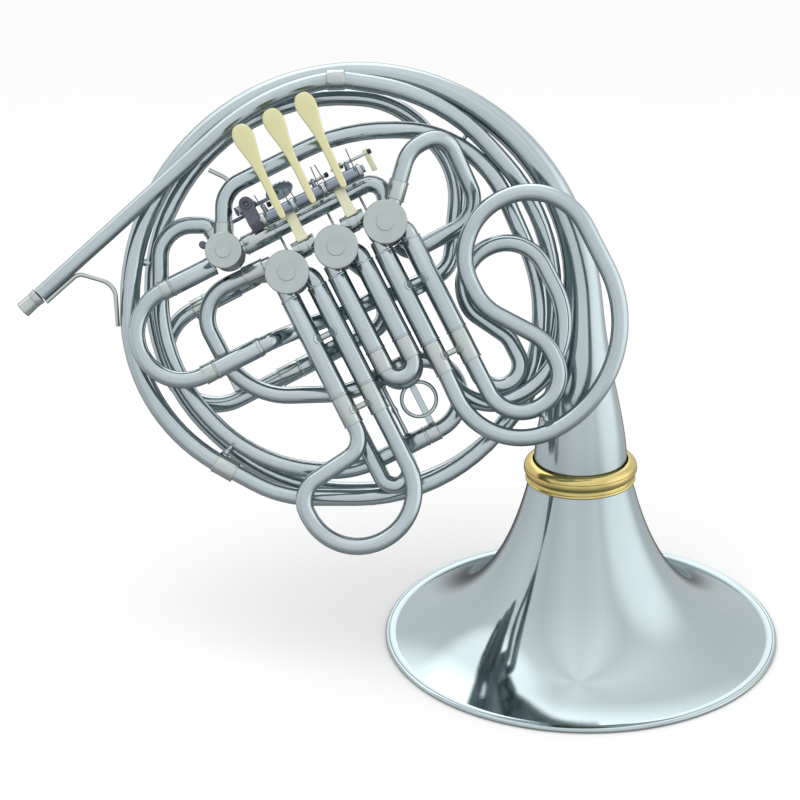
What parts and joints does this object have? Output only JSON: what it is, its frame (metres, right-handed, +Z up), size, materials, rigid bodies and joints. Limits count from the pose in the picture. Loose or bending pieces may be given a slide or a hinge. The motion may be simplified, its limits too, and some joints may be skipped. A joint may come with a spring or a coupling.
{
  "type": "french horn",
  "caption": "Silver-finished double French horn with a screw-off bell, rotary valves, finger levers and pull-out tuning slides, standing on its bell rim.",
  "frame": {"origin": "bottom centre of the object's box, on the plane that the bell rim stands on", "axes": "+Z up along the bell axis, +X from the mouthpipe towards the bell, +Y away from the player's finger levers"},
  "size_m": [0.573, 0.31, 0.4473],
  "materials": {
    "silver_plate": "polished nickel silver, lacquered",
    "bright_silver": "polished nickel silver",
    "gold_brass": "polished brass",
    "lever_lacquer": "pale gold lacquer",
    "linkage_steel": "satin steel"
  },
  "bodies": {
    "horn_body": {"valve_1_casing": "silver_plate", "valve_1_cap": "bright_silver", "valve_2_casing": "silver_plate", "valve_2_cap": "bright_silver", "valve_3_casing": "silver_plate", "valve_3_cap": "bright_silver", "change_valve_casing": "silver_plate", "change_valve_cap": "bright_silver", "change_to_valve_3_tube": "silver_plate", "valve_1_loop_tube": "silver_plate", "valve_3_loop_tube": "silver_plate", "side_slide_upper_tube": "silver_plate", "side_slide_lower_tube": "silver_plate", "main_slide_sleeve_upper": "silver_plate", "main_slide_sleeve_lower": "silver_plate", "side_slide_sleeve_upper": "silver_plate", "side_slide_sleeve_lower": "silver_plate", "lower_slide_sleeves": "silver_plate", "valve_1_front_sleeves": "silver_plate", "valve_1_back_sleeves": "silver_plate", "valve_2_front_sleeves": "silver_plate", "valve_2_back_sleeves": "silver_plate", "valve_3_front_sleeves": "silver_plate", "valve_3_back_sleeves": "silver_plate", "lever_hinge_rod": "linkage_steel", "lever_saddle": "lever_lacquer", "thumb_hinge_rod": "lever_lacquer", "finger_hook": "bright_silver", "bell_branch": "silver_plate", "ring_tube": "silver_plate", "leadpipe": "silver_plate", "mouthpiece_receiver": "bright_silver", "mouthpipe_ring_tube": "silver_plate", "leadpipe_strap": "bright_silver", "change_valve_ring_tube": "silver_plate", "bell_ring_upper": "gold_brass"},
    "bell": {"bell_flare": "silver_plate", "bell_ring_lower": "gold_brass"},
    "main_slide": {"main_tuning_slide": "silver_plate"},
    "side_slide": {"side_tuning_slide": "silver_plate"},
    "lower_slide": {"lower_tuning_slide": "silver_plate"},
    "valve_1_front_slide": {"valve_1_front_slide": "silver_plate"},
    "valve_1_back_slide": {"valve_1_back_slide": "silver_plate"},
    "valve_2_front_slide": {"valve_2_front_slide": "silver_plate"},
    "valve_2_back_slide": {"valve_2_back_slide": "silver_plate"},
    "valve_3_front_slide": {"valve_3_front_slide": "silver_plate"},
    "valve_3_back_slide": {"valve_3_back_slide": "silver_plate"},
    "lever_1": {"lever_1": "lever_lacquer"},
    "link_1": {"link_rod_1": "linkage_steel"},
    "rotor_1": {"valve_1_rotor": "bright_silver"},
    "lever_2": {"lever_2": "lever_lacquer"},
    "link_2": {"link_rod_2": "linkage_steel"},
    "rotor_2": {"valve_2_rotor": "bright_silver"},
    "lever_3": {"lever_3": "lever_lacquer"},
    "link_3": {"link_rod_3": "linkage_steel"},
    "rotor_3": {"valve_3_rotor": "bright_silver"},
    "thumb_lever": {"thumb_lever": "linkage_steel"},
    "change_link": {"change_link_rod": "linkage_steel"},
    "change_rotor": {"change_valve_rotor": "bright_silver"}
  },
  "joints": [
    {"name": "bell_unscrew", "type": "hinge", "parent": "horn_body", "child": "bell", "pos_m": [0.13152, 0, 0], "axis": [0, 0, 1], "range_deg": [0, 360]},
    {"name": "main_slide_pull", "type": "slide", "parent": "horn_body", "child": "main_slide", "axis": [-0.9048, -0.1554, -0.3964], "range_m": [0, 0.025]},
    {"name": "side_slide_pull", "type": "slide", "parent": "horn_body", "child": "side_slide", "axis": [-0.9048, -0.1554, -0.3964], "range_m": [0, 0.02]},
    {"name": "lower_slide_pull", "type": "slide", "parent": "horn_body", "child": "lower_slide", "axis": [0.9048, 0.1554, 0.3964], "range_m": [0, 0.018]},
    {"name": "valve_1_front_slide_pull", "type": "slide", "parent": "horn_body", "child": "valve_1_front_slide", "axis": [0.4258, -0.3302, -0.8424], "range_m": [0, 0.025]},
    {"name": "valve_1_back_slide_pull", "type": "slide", "parent": "horn_body", "child": "valve_1_back_slide", "axis": [0.4258, -0.3302, -0.8424], "range_m": [0, 0.025]},
    {"name": "valve_2_front_slide_pull", "type": "slide", "parent": "horn_body", "child": "valve_2_front_slide", "axis": [0.4258, -0.3302, -0.8424], "range_m": [0, 0.025]},
    {"name": "valve_2_back_slide_pull", "type": "slide", "parent": "horn_body", "child": "valve_2_back_slide", "axis": [0.4258, -0.3302, -0.8424], "range_m": [0, 0.025]},
    {"name": "valve_3_front_slide_pull", "type": "slide", "parent": "horn_body", "child": "valve_3_front_slide", "axis": [0.4258, -0.3302, -0.8424], "range_m": [0, 0.025]},
    {"name": "valve_3_back_slide_pull", "type": "slide", "parent": "horn_body", "child": "valve_3_back_slide", "axis": [0.4258, -0.3302, -0.8424], "range_m": [0, 0.025]},
    {"name": "lever_1_press", "type": "hinge", "parent": "horn_body", "child": "lever_1", "pos_m": [-0.10303, -0.00915, 0.34911], "axis": [-0.9048, -0.1554, -0.3964], "range_deg": [0, 12], "stiffness_Nm_per_rad": 0.15, "springref_deg": -20.05},
    {"name": "link_1_travel", "type": "slide", "parent": "horn_body", "child": "link_1", "axis": [0.4258, -0.3302, -0.8424], "range_m": [0, 0.0129]},
    {"name": "rotor_1_turn", "type": "hinge", "parent": "horn_body", "child": "rotor_1", "pos_m": [-0.08536, 0.01439, 0.29955], "axis": [0, -0.9311, 0.3649], "range_deg": [-91, 0]},
    {"name": "lever_2_press", "type": "hinge", "parent": "horn_body", "child": "lever_2", "pos_m": [-0.06675, -0.00292, 0.36501], "axis": [-0.9048, -0.1554, -0.3964], "range_deg": [0, 12], "stiffness_Nm_per_rad": 0.15, "springref_deg": -20.05},
    {"name": "link_2_travel", "type": "slide", "parent": "horn_body", "child": "link_2", "axis": [0.4258, -0.3302, -0.8424], "range_m": [0, 0.0129]},
    {"name": "rotor_2_turn", "type": "hinge", "parent": "horn_body", "child": "rotor_2", "pos_m": [-0.04908, 0.02062, 0.31545], "axis": [0, -0.9311, 0.3649], "range_deg": [-91, 0]},
    {"name": "lever_3_press", "type": "hinge", "parent": "horn_body", "child": "lever_3", "pos_m": [-0.03046, 0.00331, 0.3809], "axis": [-0.9048, -0.1554, -0.3964], "range_deg": [0, 12], "stiffness_Nm_per_rad": 0.15, "springref_deg": -20.05},
    {"name": "link_3_travel", "type": "slide", "parent": "horn_body", "child": "link_3", "axis": [0.4258, -0.3302, -0.8424], "range_m": [0, 0.0129]},
    {"name": "rotor_3_turn", "type": "hinge", "parent": "horn_body", "child": "rotor_3", "pos_m": [-0.01279, 0.02685, 0.33135], "axis": [0, -0.9311, 0.3649], "range_deg": [0, 91]},
    {"name": "thumb_press", "type": "hinge", "parent": "horn_body", "child": "thumb_lever", "pos_m": [-0.09196, 0.01989, 0.36291], "axis": [0.9048, 0.1554, 0.3964], "range_deg": [0, 19], "stiffness_Nm_per_rad": 0.12, "springref_deg": -17.19},
    {"name": "change_link_travel", "type": "slide", "parent": "horn_body", "child": "change_link", "axis": [-0.4258, 0.3302, 0.8424], "range_m": [0, 0.0129]},
    {"name": "change_rotor_turn", "type": "hinge", "parent": "horn_body", "child": "change_rotor", "pos_m": [-0.13103, 0.02067, 0.31556], "axis": [0, -0.9311, 0.3649], "range_deg": [0, 91]}
  ],
  "couplings": [
    {"joint": "link_1_travel", "follows": "lever_1_press", "m_per_rad": 0.0607},
    {"joint": "rotor_1_turn", "follows": "lever_1_press", "ratio": -7.5},
    {"joint": "link_2_travel", "follows": "lever_2_press", "m_per_rad": 0.0607},
    {"joint": "rotor_2_turn", "follows": "lever_2_press", "ratio": -7.5},
    {"joint": "link_3_travel", "follows": "lever_3_press", "m_per_rad": 0.0607},
    {"joint": "rotor_3_turn", "follows": "lever_3_press", "ratio": 7.5},
    {"joint": "change_link_travel", "follows": "thumb_press", "m_per_rad": 0.0384},
    {"joint": "change_rotor_turn", "follows": "thumb_press", "ratio": 4.7368}
  ]
}
